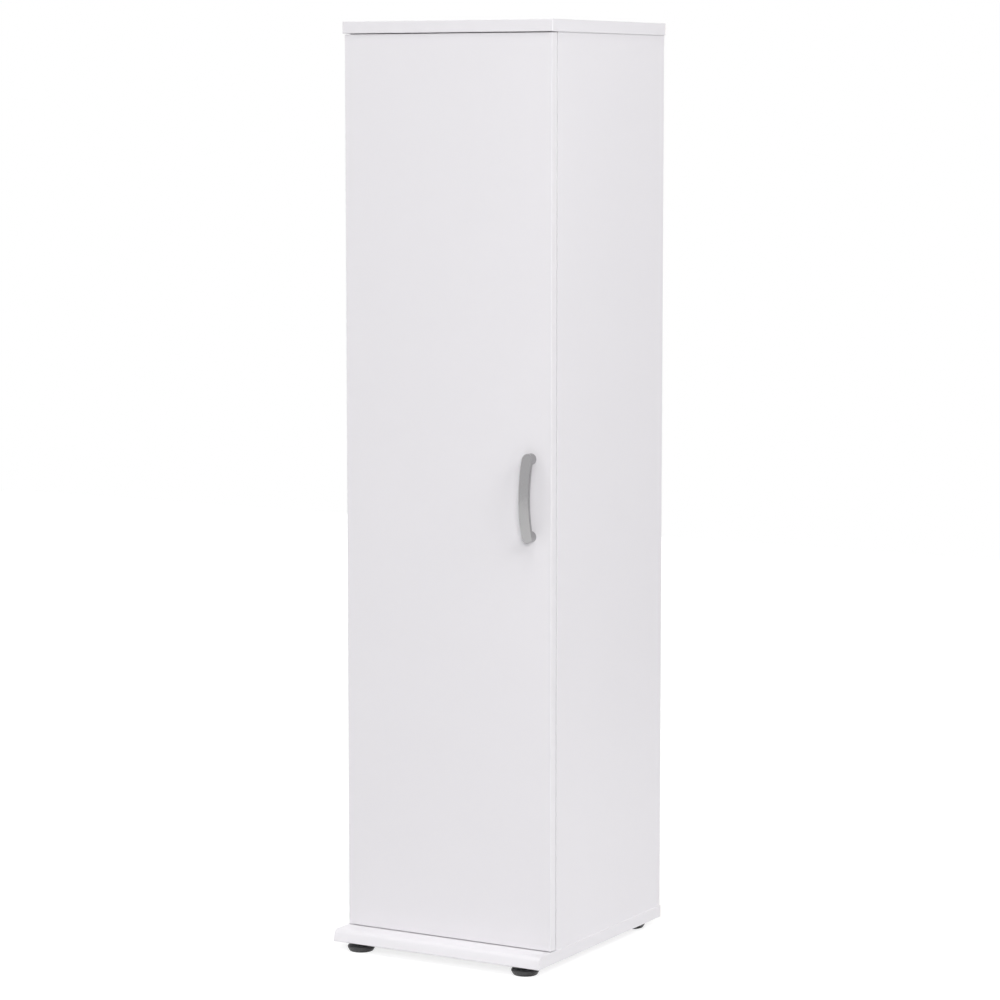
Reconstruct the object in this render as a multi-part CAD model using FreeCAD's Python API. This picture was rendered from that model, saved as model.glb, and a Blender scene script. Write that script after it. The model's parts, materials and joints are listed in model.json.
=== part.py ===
import FreeCAD, Part
import math
import os

from FreeCAD import Vector

# Broom cupboard: a tall, narrow laminate cupboard with one full-height door on the left.
# Millimetres. +Z is up, the door faces -Y, and the origin is on the floor, under the middle of
# the cupboard's outline. Left and right are as seen from in front: the hinges are at -X.

# ---------------------------------------------------------------------------------------------
# Driving sizes
# ---------------------------------------------------------------------------------------------

# Carcass
total_height = 1570.0
carcass_width = 397.0  # over the two side panels
side_depth = 372.0
side_thickness = 16.0
foot_height = 16.0  # floor to the base board's underside
base_thickness = 20.0
top_thickness = 20.0
board_overhang = 2.0  # top and base boards past each side panel
top_front_overhang = 21.0  # top board's front edge ahead of the side panels' front edges
base_front_overhang = 64.0
top_edge_radius = 1.2

# Rounded nose of the base board
nose_slope = 16.0  # degrees between the nose's face and the vertical
nose_top_radius = 9.0
nose_bottom_radius = 1.5

# Back panel, in grooves all round
back_thickness = 3.0
back_inset = 9.0  # back panel's rear face to the carcass's rear edge
groove_depth = 6.0
groove_end_clearance = 0.5

# Shelves
shelf_thickness = 16.0
top_space_height = 314.0  # fixed shelf's top face to the top board's underside
shelf_setback = 3.0  # shelves' front edge behind the side panels' front edges
shelf_side_clearance = 1.2  # adjustable shelf only
board_edging = 0.8  # front edges of the shelves and side panels
pin_radius = 2.5
pin_hole_depth = 10.0
pin_end_clearance = 0.5
pin_stub_length = 7.0
pin_flange_radius = 4.5
pin_flange_thickness = 1.0
pin_front_setback = 60.0
pin_rear_setback = 60.0
pin_row_spacing = 32.0
pin_rows = 5
pin_middle_row_drop = 160.0  # below the top board's underside

# Cam-and-bolt joints and dowels
cam_radius = 7.5
cam_depth = 12.5
cam_distance = 24.0  # seam to the cam's centre
cam_slot_clearance = 0.1
bolt_thread_radius = 2.5
bolt_thread_length = 11.0
bolt_shank_radius = 3.5
bolt_bore_radius = 4.0
bolt_past_cam_centre = 2.0
cam_cross_length = 8.0
cam_cross_width = 1.4
cam_cross_depth = 2.0
cam_cross_angles = (45, 135)
dowel_radius = 4.0
dowel_in_board = 12.0
dowel_in_panel = 18.0
dowel_chamfer = 1.0
dowel_bore_clearance = 0.5  # at the bore's bottom
joint_front_setback = 48.0
joint_rear_setback = 66.0
dowel_step = 32.0  # dowel beside each cam, towards the middle of the panel

# Door
door_thickness = 16.0
door_gap = 2.5  # side panels' front edges to the door's back face
door_side_inset = 1.0  # door's edge in from the carcass's outer face
door_top_gap = 1.5
door_bottom_gap = 1.5
door_edging = 0.8
bumper_radius = 4.0
bumper_free_gap = 0.3
bumper_end_inset = 30.0
door_edge_round = 0.5

# Bow handle
handle_edge_inset = 37.5  # door's free edge to the handle's centre line
handle_hole_spacing = 128.0
handle_width = 19.0
handle_bow_thickness = 5.3
handle_rise_at_posts = 15.8  # door's face to the bow's outer face
handle_rise_at_middle = 26.4
handle_edge_round = 0.9
handle_screw_radius = 2.0
handle_screw_bore_radius = 2.5
handle_screw_engagement = 9.0
screw_head_radius = 4.0
screw_head_height = 2.2

# Shape of every pan head, as shares of its own radius and height
head_flat_share = 0.62
head_shoulder_share = 0.93
head_shoulder_height_share = 0.6

# Feet
foot_side_inset = 37.7  # carcass's outer face to the foot's centre
foot_front_inset = 26.0  # base board's lowest front edge to the foot's centre
foot_rear_inset = 33.0
foot_sole_radius = 20.8  # this and the rim's are at the corners, before they are rounded
foot_rim_radius = 24.7
foot_rim_height = 8.0
foot_neck_radius = 9.0
foot_cone_height = 12.0
foot_sole_round = 1.4
foot_rim_round = 2.0
foot_neck_round = 1.2
stem_root_height = 4.0  # stem starts inside the pad
stem_radius = 4.0
stem_chamfer = 1.0
stem_engagement = 18.0
stem_running_clearance = 0.05
socket_radius = 6.0
socket_length = 19.0
socket_flange_radius = 9.0
socket_flange_thickness = 1.2

# Concealed hinges. Plan points are (in from the side panel's inner face, back from its front
# edge), and layers are heights above and below the hinge's middle.
hinge_end_inset = 100.0  # door's top and bottom edges to the outer hinges

# Pivot axes with the door shut
arm_outer_pivot = (24.0, 5.2)
arm_inner_pivot = (13.2, -11.7)
cup_outer_pivot = (-3.1, -5.3)
cup_inner_pivot = (-1.4, -10.9)
inner_link_eye = (-2.65, -11.2)  # centre of the inner link's wide eye, round the cup's inner pin

# Layers
inner_link_half = 3.4
arm_cheek_from, arm_cheek_to = 3.7, 5.3
outer_cheek_from, outer_cheek_to = 5.6, 7.2
tower_from = 7.5

# Pins, eyes and links
link_pin_radius = 1.2
pin_clearance = 0.05
wide_eye_radius = 2.6
eye_radius = 2.4
wide_eye_outer_radius = 3.55
outer_link_bar_radius = 1.7
outer_link_elbow = (4.4, -5.2)  # bends the link clear of the cup's rim when the door is open
outer_link_eye_radius = 2.6
inner_link_bar_radius = 2.0
bridge_distance = 5.0  # outer link's bridge behind its arm pivot
bridge_radius = 1.2
tower_pin_grip = 3.0

# Arm
arm_elbow = (15.0, -2.0)
arm_elbow_radius = 2.5
arm_shoulder_radius = 3.0
arm_sheet = 1.6
arm_top = 9.6  # arm's top face above the side panel
arm_foot_clearance = 0.5
arm_rear_from, arm_rear_to = 30.0, 66.0
arm_screw_places = (42.0, 55.0)
arm_screw_radius = 2.0
arm_screw_length = 5.0
arm_screw_head_radius = 3.3
arm_screw_head_height = 1.4

# Mounting plate
plate_thickness = 2.0
plate_setback = 37.0
plate_screw_spacing = 32.0
plate_wing_half_length = 26.0
plate_wing_half_width = 8.0
plate_wing_corner_radius = 4.8
plate_body_half_height = 8.0
plate_body_to = 62.0
ridge_from = 33.0
ridge_half_height = 3.4
plate_screw_radius = 2.5
plate_screw_depth = 11.0
plate_screw_head_radius = 4.0
plate_screw_head_height = 1.8

# Cup
cup_edge_distance = 21.5  # door's hinge edge to the cup's centre
cup_radius = 17.5
cup_wall = 0.8
cup_depth = 13.0
cup_floor = 0.5
cup_rim_radius = 18.8
cup_rim_thickness = 1.0
wing_offset = 6.0  # wing screws' line from the cup's centre, towards the door's middle
wing_screw_spacing = 48.0
wing_half_width = 6.5
cup_screw_radius = 1.75
cup_screw_depth = 11.0
cup_screw_head_radius = 3.4
cup_screw_head_height = 1.5
ear_radius = 2.2

# ---------------------------------------------------------------------------------------------
# Places worked out from the driving sizes
# ---------------------------------------------------------------------------------------------

X_AXIS = Vector(1, 0, 0)
Y_AXIS = Vector(0, 1, 0)
Z_AXIS = Vector(0, 0, 1)
LEFT, RIGHT = -1, 1

outer_x = carcass_width / 2
inner_x = outer_x - side_thickness
board_x = outer_x + board_overhang
rear_y = (side_depth + base_front_overhang) / 2
side_front_y = rear_y - side_depth
base_front_y = side_front_y - base_front_overhang
top_front_y = side_front_y - top_front_overhang
back_rear_y = rear_y - back_inset
back_front_y = back_rear_y - back_thickness

base_top_z = foot_height + base_thickness
top_under_z = total_height - top_thickness
fixed_shelf_top_z = top_under_z - top_space_height
fixed_shelf_under_z = fixed_shelf_top_z - shelf_thickness
pin_middle_row_z = top_under_z - pin_middle_row_drop

door_back_y = side_front_y - door_gap
door_front_y = door_back_y - door_thickness
door_left_x = -outer_x + door_side_inset
door_right_x = outer_x - door_side_inset
door_bottom_z = base_top_z + door_bottom_gap
door_top_z = top_under_z - door_top_gap
door_middle_z = (door_bottom_z + door_top_z) / 2


# ---------------------------------------------------------------------------------------------
# Small helpers
# ---------------------------------------------------------------------------------------------


def box(x0, x1, y0, y1, z0, z1):
    """A box between two corners."""
    return Part.makeBox(x1 - x0, y1 - y0, z1 - z0, Vector(x0, y0, z0))


def rod(radius, start, direction, length):
    return Part.makeCylinder(radius, length, start, direction)


def turned(points, centre, axis=Z_AXIS):
    """A solid turned from (radius, height) points, standing at centre along axis."""
    corners = [Vector(r, 0, h) for r, h in points]
    profile = Part.Face(Part.makePolygon(corners + corners[:1]))
    solid = profile.revolve(Vector(0, 0, 0), Z_AXIS, 360)
    solid.Placement = FreeCAD.Placement(centre, FreeCAD.Rotation(Z_AXIS, axis))
    return solid


def drilled(solid, cutters):
    return solid.cut(cutters) if cutters else solid


def save(name, *solids):
    """Writes one STEP file. Several solids become one group of separate pieces."""
    shape = solids[0] if len(solids) == 1 else Part.makeCompound(list(solids))
    shape.exportStep(os.path.join("parts", name + ".step"))


def edges_where(solid, test):
    """The edges whose two ends and middle all pass the test."""
    found = []
    for edge in solid.Edges:
        middle = edge.valueAt((edge.FirstParameter + edge.LastParameter) / 2)
        if all(test(p) for p in [middle] + [v.Point for v in edge.Vertexes]):
            found.append(edge)
    return found


def unique(edges):
    kept = []
    for edge in edges:
        if not any(edge.isSame(other) for other in kept):
            kept.append(edge)
    return kept


def near(a, b):
    return abs(a - b) < 0.01


# ---------------------------------------------------------------------------------------------
# Joints of the carcass: where cams, bolts and dowels go
# ---------------------------------------------------------------------------------------------


class Seam:
    """A fastener across a seam: the board it is screwed into, and the panel that it pulls on."""

    def __init__(self, board, panel, point, into_panel, cam_face=None):
        self.board = board
        self.panel = panel
        self.point = point
        self.into_panel = into_panel
        self.cam_face = cam_face

    def cam_centre(self):
        return self.point + self.into_panel * cam_distance


def seam_points(board, panel, x, z, into_panel, cam_face):
    """The two cams and two dowels of one seam, front and rear."""
    cams, dowels = [], []
    for cam_y, step in (
        (side_front_y + joint_front_setback, dowel_step),
        (rear_y - joint_rear_setback, -dowel_step),
    ):
        cams.append(Seam(board, panel, Vector(x, cam_y, z), into_panel, cam_face))
        dowels.append(Seam(board, panel, Vector(x, cam_y + step, z), into_panel))
    return cams, dowels


def all_seams():
    cams, dowels = [], []
    shelf_middle_z = fixed_shelf_under_z + shelf_thickness / 2
    for side, panel in ((LEFT, "left_side_panel"), (RIGHT, "right_side_panel")):
        middle_x = side * (outer_x - side_thickness / 2)
        inwards = X_AXIS * -side
        for found in (
            seam_points("top_board", panel, middle_x, top_under_z, -Z_AXIS, inwards),
            seam_points("base_board", panel, middle_x, base_top_z, Z_AXIS, inwards),
            seam_points(panel, "fixed_shelf", side * inner_x, shelf_middle_z, inwards, -Z_AXIS),
        ):
            cams += found[0]
            dowels += found[1]
    return cams, dowels


def cam_lock(seam):
    """A turned cam with a mouth for the bolt's head and a cross for the screwdriver."""
    face = seam.cam_centre() + seam.cam_face * (side_thickness / 2)
    cam = rod(cam_radius, face, -seam.cam_face, cam_depth)
    mouth_radius = bolt_shank_radius + cam_slot_clearance
    mouth_start = seam.cam_centre() + seam.into_panel * (bolt_past_cam_centre + cam_slot_clearance)
    cam = cam.cut(rod(mouth_radius, mouth_start, -seam.into_panel, 2 * cam_radius))
    across = seam.into_panel.cross(seam.cam_face)
    turn = FreeCAD.Rotation(seam.into_panel, across, seam.cam_face, "ZXY")
    for angle in cam_cross_angles:
        slot = Part.makeBox(
            cam_cross_length,
            cam_cross_width,
            cam_cross_depth,
            Vector(-cam_cross_length / 2, -cam_cross_width / 2, -cam_cross_depth),
        )
        slot.Placement = FreeCAD.Placement(face, turn.multiply(FreeCAD.Rotation(Z_AXIS, angle)))
        cam = cam.cut(slot)
    return cam


def cam_bolt(seam):
    thread = rod(
        bolt_thread_radius,
        seam.point - seam.into_panel * bolt_thread_length,
        seam.into_panel,
        bolt_thread_length,
    )
    shank_length = cam_distance + bolt_past_cam_centre
    return thread.fuse(rod(bolt_shank_radius, seam.point, seam.into_panel, shank_length))


def dowel(seam):
    length = dowel_in_board + dowel_in_panel
    tip = dowel_radius - dowel_chamfer
    points = [
        (0, 0),
        (tip, 0),
        (dowel_radius, dowel_chamfer),
        (dowel_radius, length - dowel_chamfer),
        (tip, length),
        (0, length),
    ]
    return turned(points, seam.point - seam.into_panel * dowel_in_board, seam.into_panel)


def seam_bores(name, cams, dowels):
    """Everything that is drilled in one board or panel for its cams, bolts and dowels."""
    bores = []
    for seam in cams:
        if seam.board == name:
            bores.append(rod(bolt_thread_radius, seam.point, -seam.into_panel, bolt_thread_length))
        if seam.panel == name:
            bores.append(rod(bolt_bore_radius, seam.point, seam.into_panel, cam_distance))
            face = seam.cam_centre() + seam.cam_face * (side_thickness / 2)
            bores.append(rod(cam_radius, face, -seam.cam_face, cam_depth))
    for seam in dowels:
        if seam.board == name:
            depth = dowel_in_board + dowel_bore_clearance
            bores.append(rod(dowel_radius, seam.point, -seam.into_panel, depth))
        if seam.panel == name:
            depth = dowel_in_panel + dowel_bore_clearance
            bores.append(rod(dowel_radius, seam.point, seam.into_panel, depth))
    return bores


# ---------------------------------------------------------------------------------------------
# Carcass
# ---------------------------------------------------------------------------------------------


def back_groove():
    """The slot round the inside of the carcass that holds the back panel."""
    reach_x = inner_x + groove_depth
    low = base_top_z - groove_depth
    high = top_under_z + groove_depth
    return box(-reach_x, reach_x, back_front_y, back_rear_y, low, high)


def pin_points(side):
    """Centres of the shelf-pin holes on a side panel's inner face, in two columns."""
    first = pin_middle_row_z - pin_row_spacing * (pin_rows - 1) / 2
    for y in (side_front_y + pin_front_setback, rear_y - pin_rear_setback):
        for row in range(pin_rows):
            yield Vector(side * inner_x, y, first + row * pin_row_spacing)


def side_panel(side, bores):
    x0, x1 = sorted((side * inner_x, side * outer_x))
    edging = box(x0, x1, side_front_y, side_front_y + board_edging, base_top_z, top_under_z)
    panel = box(x0, x1, side_front_y + board_edging, rear_y, base_top_z, top_under_z)
    bores = bores + [back_groove()]
    for point in pin_points(side):
        bores.append(rod(pin_radius, point, X_AXIS * side, pin_hole_depth))
    return drilled(panel, bores), edging


def top_board(bores):
    board = box(-board_x, board_x, top_front_y, rear_y, top_under_z, total_height)
    front = edges_where(board, lambda p: near(p.y, top_front_y))
    ends = edges_where(board, lambda p: near(abs(p.x), board_x) and not near(p.y, rear_y))
    board = board.makeFillet(top_edge_radius, unique(front + ends))
    return drilled(board, bores + [back_groove()])


def base_board(bores):
    """The base board's section, with its sloping rounded nose, drawn out from end to end."""
    rounding_loss = nose_bottom_radius * (1 / math.tan(math.radians(45 - nose_slope / 2)) - 1)
    low_y = base_front_y - rounding_loss
    high_y = low_y + math.tan(math.radians(nose_slope)) * base_thickness
    section = [
        Vector(-board_x, rear_y, foot_height),
        Vector(-board_x, rear_y, base_top_z),
        Vector(-board_x, high_y, base_top_z),
        Vector(-board_x, low_y, foot_height),
    ]
    face = Part.Face(Part.makePolygon(section + section[:1]))
    board = face.extrude(X_AXIS * (2 * board_x))
    top_edge = edges_where(board, lambda p: near(p.y, high_y) and near(p.z, base_top_z))
    board = board.makeFillet(nose_top_radius, top_edge)
    low_edge = edges_where(board, lambda p: near(p.y, low_y) and near(p.z, foot_height))
    board = board.makeFillet(nose_bottom_radius, low_edge)
    return drilled(board, bores + [back_groove()])


def back_panel():
    reach_x = inner_x + groove_depth - groove_end_clearance
    low = base_top_z - groove_depth
    high = top_under_z + groove_depth - groove_end_clearance
    return box(-reach_x, reach_x, back_front_y, back_rear_y, low, high)


def shelf(under_z, end_clearance):
    """A shelf and the edging on its front."""
    x = inner_x - end_clearance
    front = side_front_y + shelf_setback
    top_z = under_z + shelf_thickness
    board = box(-x, x, front + board_edging, back_front_y, under_z, top_z)
    edging = box(-x, x, front, front + board_edging, under_z, top_z)
    return board, edging


def shelf_pin(side, hole):
    """A round pin with a flange that stops it at the panel's face."""
    outwards = X_AXIS * side
    shank = rod(pin_radius, hole, outwards, pin_hole_depth - pin_end_clearance)
    flange = rod(pin_flange_radius, hole, -outwards, pin_flange_thickness)
    stub = rod(pin_radius, hole, -outwards, pin_stub_length)
    return shank.multiFuse([flange, stub]).removeSplitter()


# ---------------------------------------------------------------------------------------------
# Concealed hinges
#
# Each hinge is a four-bar linkage. An arm on the side panel and a cup in the door are joined by
# two links that cross in plan. Seen in layers from the hinge's middle outwards: inner link,
# arm cheeks (with the cup's ears in the same layer), outer link cheeks, cup towers.
# ---------------------------------------------------------------------------------------------

hinge_places = {
    "low": door_bottom_z + hinge_end_inset,
    "middle": door_middle_z,
    "high": door_top_z - hinge_end_inset,
}
hinge_heights = list(hinge_places.values())
cup_x = door_left_x + cup_edge_distance
arm_rear_radius = (arm_top - plate_thickness - arm_foot_clearance) / 2
arm_rear_line = arm_top - arm_rear_radius


def plan(point, z=0.0):
    """The place of a plan point at a height."""
    return Vector(point[0] - inner_x, point[1] + side_front_y, z)


def bar(ends, z0, z1):
    """A flat bar drawn tightly round (plan point, radius) circles, one after another."""
    height = z1 - z0
    solids = [rod(radius, plan(point, z0), Z_AXIS, height) for point, radius in ends]
    for (first, first_radius), (second, second_radius) in zip(ends, ends[1:]):
        a, b = plan(first, z0), plan(second, z0)
        along = (b - a).normalize()
        across = Z_AXIS.cross(along)
        sine = (first_radius - second_radius) / a.distanceToPoint(b)
        left = along * sine + across * math.sqrt(1 - sine**2)
        right = along * sine - across * math.sqrt(1 - sine**2)
        corners = [
            a + left * first_radius,
            b + left * second_radius,
            b + right * second_radius,
            a + right * first_radius,
        ]
        web = Part.Face(Part.makePolygon(corners + corners[:1]))
        solids.append(web.extrude(Z_AXIS * height))
    return solids[0].multiFuse(solids[1:]).removeSplitter()


def both_sides(make, z, inner, outer):
    """The same layer above and below the hinge's middle."""
    return [make(z + inner, z + outer), make(z - outer, z - inner)]


def pin_hole(point, radius, z):
    return rod(radius, plan(point, z - 2 * cup_radius), Z_AXIS, 4 * cup_radius)


def pin(point, z0, z1):
    return rod(link_pin_radius, plan(point, z0), Z_AXIS, z1 - z0)


def mounting_plate(z):
    """A cross-shaped plate with a ridge that the arm straddles."""
    seat = -inner_x
    wings = box(
        seat,
        seat + plate_thickness,
        side_front_y + plate_setback - plate_wing_half_width,
        side_front_y + plate_setback + plate_wing_half_width,
        z - plate_wing_half_length,
        z + plate_wing_half_length,
    )
    corners = [e for e in wings.Edges if near(e.Length, plate_thickness)]
    wings = wings.makeFillet(plate_wing_corner_radius, corners)
    body = box(
        seat,
        seat + plate_thickness,
        side_front_y + plate_setback,
        side_front_y + plate_body_to,
        z - plate_body_half_height,
        z + plate_body_half_height,
    )
    ridge = box(
        seat + plate_thickness,
        seat + arm_top - arm_sheet,
        side_front_y + ridge_from,
        side_front_y + plate_body_to,
        z - ridge_half_height,
        z + ridge_half_height,
    )
    plate = wings.multiFuse([body, ridge]).removeSplitter()
    holes = [
        rod(plate_screw_radius, point, X_AXIS, plate_thickness) for point in plate_screw_points(z)
    ]
    for place in arm_screw_places:
        bottom = arm_top - arm_screw_length
        holes.append(rod(arm_screw_radius, plan((bottom, place), z), X_AXIS, arm_screw_length))
    return plate.cut(holes)


def plate_screw_points(z):
    for side in (-1, 1):
        yield plan((0, plate_setback), z + side * plate_screw_spacing / 2)


def plate_screws(z):
    for point in plate_screw_points(z):
        seat = point + X_AXIS * plate_thickness
        length = plate_thickness + plate_screw_depth
        yield pan_head_screw(
            seat,
            -X_AXIS,
            plate_screw_radius,
            length,
            plate_screw_head_radius,
            plate_screw_head_height,
        )


def plate_screw_bores(z):
    for point in plate_screw_points(z):
        yield rod(plate_screw_radius, point, -X_AXIS, plate_screw_depth)


def hinge_arm(z):
    """A pressed channel: two cheeks that reach into the cup, and a web over the ridge."""
    nose = [
        (arm_inner_pivot, eye_radius),
        (arm_elbow, arm_elbow_radius),
        (arm_outer_pivot, arm_shoulder_radius),
    ]
    shoulder = (arm_outer_pivot, arm_shoulder_radius)
    rear_front = (arm_rear_line, arm_rear_from)
    rear_end = (arm_rear_line, arm_rear_to)
    back = [(rear_front, arm_rear_radius), (rear_end, arm_rear_radius)]
    cheeks = both_sides(lambda z0, z1: bar(nose + back, z0, z1), z, arm_cheek_from, arm_cheek_to)
    web = bar([shoulder] + back, z - arm_cheek_from, z + arm_cheek_from)
    channel = [(point, radius - arm_sheet) for point, radius in [shoulder] + back]
    web = web.cut(bar(channel, z - arm_cheek_from, z + arm_cheek_from))
    for (first, _), (second, _) in zip(channel, channel[1:]):
        web = web.cut(open_side(first, second, z))
    arm = cheeks[0].multiFuse([cheeks[1], web]).removeSplitter()
    holes = [pin_hole(point, link_pin_radius, z) for point in (arm_outer_pivot, arm_inner_pivot)]
    for place in arm_screw_places:
        holes.append(rod(arm_screw_radius, plan((0, place), z), X_AXIS, 2 * arm_top))
    return arm.cut(holes)


def open_side(first, second, z):
    """The side of the channel that faces the panel, from the centre line outwards."""
    a, b = plan(first, z - arm_cheek_from), plan(second, z - arm_cheek_from)
    along = (b - a).normalize()
    outwards = Z_AXIS.cross(along) * (2 * arm_shoulder_radius)
    if outwards.x > 0:
        outwards = outwards * -1
    corners = [a, b, b + outwards, a + outwards]
    face = Part.Face(Part.makePolygon(corners + corners[:1]))
    return face.extrude(Z_AXIS * (2 * arm_cheek_from))


def arm_screws(z):
    for place in arm_screw_places:
        yield pan_head_screw(
            plan((arm_top, place), z),
            -X_AXIS,
            arm_screw_radius,
            arm_screw_length,
            arm_screw_head_radius,
            arm_screw_head_height,
        )


def outer_link(z):
    """A stirrup: two cheeks outside the arm, bridged behind the arm's pivot."""
    away = (plan(arm_outer_pivot) - plan(cup_outer_pivot)).normalize() * bridge_distance
    bridge = (arm_outer_pivot[0] + away.x, arm_outer_pivot[1] + away.y)

    def cheek(z0, z1):
        path = [arm_outer_pivot, outer_link_elbow, cup_outer_pivot]
        bars = bar([(point, outer_link_bar_radius) for point in path], z0, z1)
        tail = bar([(bridge, bridge_radius), (arm_outer_pivot, outer_link_eye_radius)], z0, z1)
        eye = bar([(cup_outer_pivot, eye_radius)], z0, z1)
        return bars.multiFuse([tail, eye]).removeSplitter()

    cheeks = both_sides(cheek, z, outer_cheek_from, outer_cheek_to)
    rail = bar([(bridge, bridge_radius)], z - outer_cheek_to, z + outer_cheek_to)
    link = cheeks[0].multiFuse([cheeks[1], rail]).removeSplitter()
    hole = link_pin_radius + pin_clearance
    return link.cut([pin_hole(arm_outer_pivot, hole, z), pin_hole(cup_outer_pivot, hole, z)])


def inner_link(z):
    """A solid link whose cup end is a wide eye: the pin floats in it as the door swings."""
    z0, z1 = z - inner_link_half, z + inner_link_half
    link = bar([(arm_inner_pivot, eye_radius), (inner_link_eye, inner_link_bar_radius)], z0, z1)
    link = link.fuse(bar([(inner_link_eye, wide_eye_outer_radius)], z0, z1)).removeSplitter()
    holes = [
        pin_hole(arm_inner_pivot, link_pin_radius + pin_clearance, z),
        pin_hole(inner_link_eye, wide_eye_radius, z),
    ]
    return link.cut(holes)


def arm_pins(z):
    """Two short rivets for the outer link and one pin through the arm for the inner link."""
    yield pin(arm_outer_pivot, z + arm_cheek_from, z + outer_cheek_to)
    yield pin(arm_outer_pivot, z - outer_cheek_to, z - arm_cheek_from)
    yield pin(arm_inner_pivot, z - arm_cheek_to, z + arm_cheek_to)


def cup_pins(z):
    """Two short pins in the cup's towers and one between its ears."""
    yield pin(cup_outer_pivot, z + outer_cheek_from, z + tower_from + tower_pin_grip)
    yield pin(cup_outer_pivot, z - tower_from - tower_pin_grip, z - outer_cheek_from)
    yield pin(cup_inner_pivot, z - arm_cheek_to, z + arm_cheek_to)


def cup_bowl(z):
    return rod(cup_radius, Vector(cup_x, door_back_y - cup_depth, z), Y_AXIS, cup_depth)


def cup_cavity(z):
    depth = cup_depth - cup_floor
    floor = Vector(cup_x, door_back_y - depth, z)
    return rod(cup_radius - cup_wall, floor, Y_AXIS, depth + 2 * cup_rim_thickness)


def floor_below(point):
    """The plan point on the cup's floor in front of a pivot."""
    return (point[0], door_back_y - cup_depth + cup_floor / 2 - side_front_y)


def hinge_cup(z):
    """A round cup with a rim, two screw wings, and inside it the towers and ears for the pins."""
    bowl = cup_bowl(z)
    rim = rod(cup_rim_radius, Vector(cup_x, door_back_y, z), Y_AXIS, cup_rim_thickness)
    wing_x = cup_x + wing_offset
    half = wing_screw_spacing / 2
    wings = [
        box(
            wing_x - wing_half_width,
            wing_x + wing_half_width,
            door_back_y,
            door_back_y + cup_rim_thickness,
            z - half,
            z + half,
        )
    ]
    for point in cup_screw_points(z):
        wings.append(rod(wing_half_width, point, Y_AXIS, cup_rim_thickness))
    shell = bowl.multiFuse([rim] + wings).cut(cup_cavity(z))
    tower_path = [(cup_outer_pivot, eye_radius), (floor_below(cup_outer_pivot), eye_radius)]
    towers = both_sides(lambda z0, z1: bar(tower_path, z0, z1), z, tower_from, cup_radius)
    ear_path = [(cup_inner_pivot, ear_radius), (floor_below(cup_inner_pivot), ear_radius)]
    ears = both_sides(lambda z0, z1: bar(ear_path, z0, z1), z, arm_cheek_from, arm_cheek_to)
    posts = [post.common(bowl) for post in towers + ears]
    cup = shell.multiFuse(posts).removeSplitter()
    grip = tower_from + tower_pin_grip
    holes = [
        pin_hole(cup_inner_pivot, link_pin_radius, z),
        pin(cup_outer_pivot, z - grip, z + grip),
    ]
    for point in cup_screw_points(z):
        holes.append(rod(cup_screw_radius, point, Y_AXIS, cup_rim_thickness))
    return cup.cut(holes)


def cup_screw_points(z):
    for side in (-1, 1):
        yield Vector(cup_x + wing_offset, door_back_y, z + side * wing_screw_spacing / 2)


def cup_screws(z):
    for point in cup_screw_points(z):
        yield pan_head_screw(
            point + Y_AXIS * cup_rim_thickness,
            -Y_AXIS,
            cup_screw_radius,
            cup_rim_thickness + cup_screw_depth,
            cup_screw_head_radius,
            cup_screw_head_height,
        )


def cup_bores(z):
    """What the door is bored with for one hinge."""
    bores = [cup_bowl(z)]
    for point in cup_screw_points(z):
        bores.append(rod(cup_screw_radius, point, -Y_AXIS, cup_screw_depth))
    return bores


# ---------------------------------------------------------------------------------------------
# Door and handle
# ---------------------------------------------------------------------------------------------

handle_x = door_right_x - handle_edge_inset
post_heights = [door_middle_z - handle_hole_spacing / 2, door_middle_z + handle_hole_spacing / 2]
bumper_x = outer_x - side_thickness / 2
bumper_heights = [door_bottom_z + bumper_end_inset, door_top_z - bumper_end_inset]


def door_panel():
    """The door's core, bored for the hinge cups, their screws and the handle's screws."""
    panel = box(
        door_left_x + door_edging,
        door_right_x - door_edging,
        door_front_y,
        door_back_y,
        door_bottom_z + door_edging,
        door_top_z - door_edging,
    )
    bores = []
    for z in post_heights:
        start = Vector(handle_x, door_front_y, z)
        bores.append(rod(handle_screw_bore_radius, start, Y_AXIS, door_thickness))
    for z in hinge_heights:
        bores += cup_bores(z)
    return drilled(panel, bores)


def door_edging_strips():
    """Two full-height strips and two between them, each rounded where it meets the front."""
    left = box(
        door_left_x,
        door_left_x + door_edging,
        door_front_y,
        door_back_y,
        door_bottom_z,
        door_top_z,
    )
    right = left.translated(Vector(door_right_x - door_left_x - door_edging, 0, 0))
    bottom = box(
        door_left_x + door_edging,
        door_right_x - door_edging,
        door_front_y,
        door_back_y,
        door_bottom_z,
        door_bottom_z + door_edging,
    )
    top = bottom.translated(Vector(0, 0, door_top_z - door_bottom_z - door_edging))
    corners = (
        (left, lambda p: near(p.y, door_front_y) and near(p.x, door_left_x)),
        (right, lambda p: near(p.y, door_front_y) and near(p.x, door_right_x)),
        (bottom, lambda p: near(p.y, door_front_y) and near(p.z, door_bottom_z)),
        (top, lambda p: near(p.y, door_front_y) and near(p.z, door_top_z)),
    )
    return [strip.makeFillet(door_edge_round, edges_where(strip, test)) for strip, test in corners]


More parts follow.
